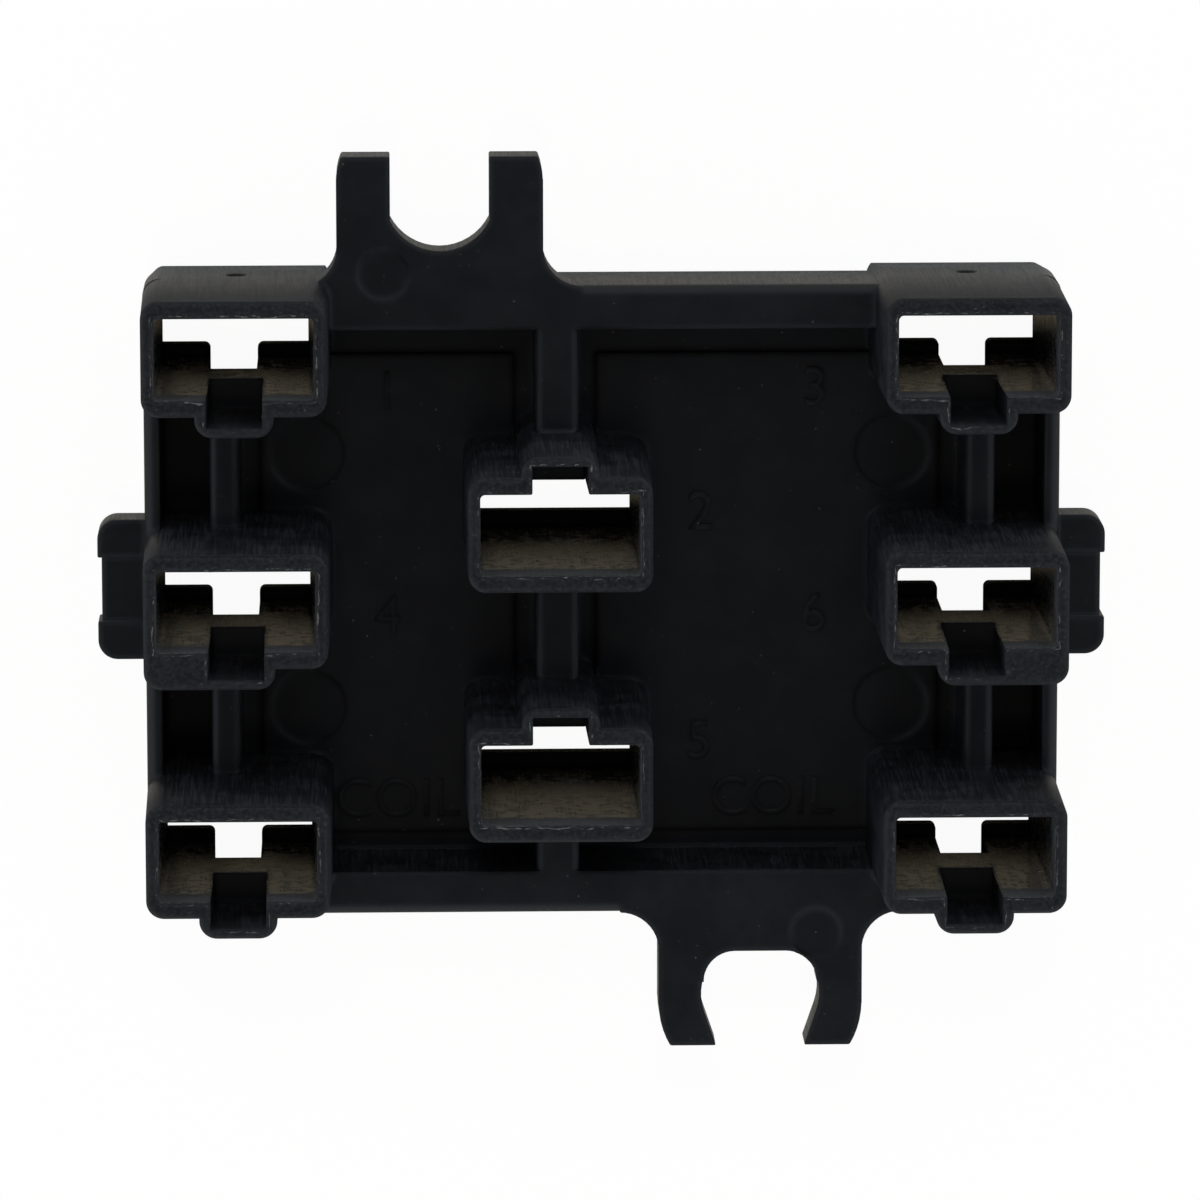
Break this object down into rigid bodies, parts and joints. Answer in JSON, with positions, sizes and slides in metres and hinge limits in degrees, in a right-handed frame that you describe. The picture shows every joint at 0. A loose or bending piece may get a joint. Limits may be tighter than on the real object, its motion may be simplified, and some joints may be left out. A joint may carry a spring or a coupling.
{
  "type": "relay socket",
  "caption": "Plug-on relay socket: a moulded plastic housing with terminal towers on a bordered base, two slotted mounting ears and a grip tab on each side.",
  "frame": {"origin": "centre of the rectangular housing on its seating face, where the relay's blades enter", "axes": "+X along the long side towards terminals 3 and 6, +Y towards the ear with the U slot, +Z towards the open mouths of the towers"},
  "size_m": [0.0514, 0.046, 0.0155],
  "materials": {
    "black_plastic": "satin black moulded thermoplastic with paler scuffs on the edges of the mouths"
  },
  "bodies": {
    "root": {"housing": "black_plastic"}
  },
  "joints": []
}
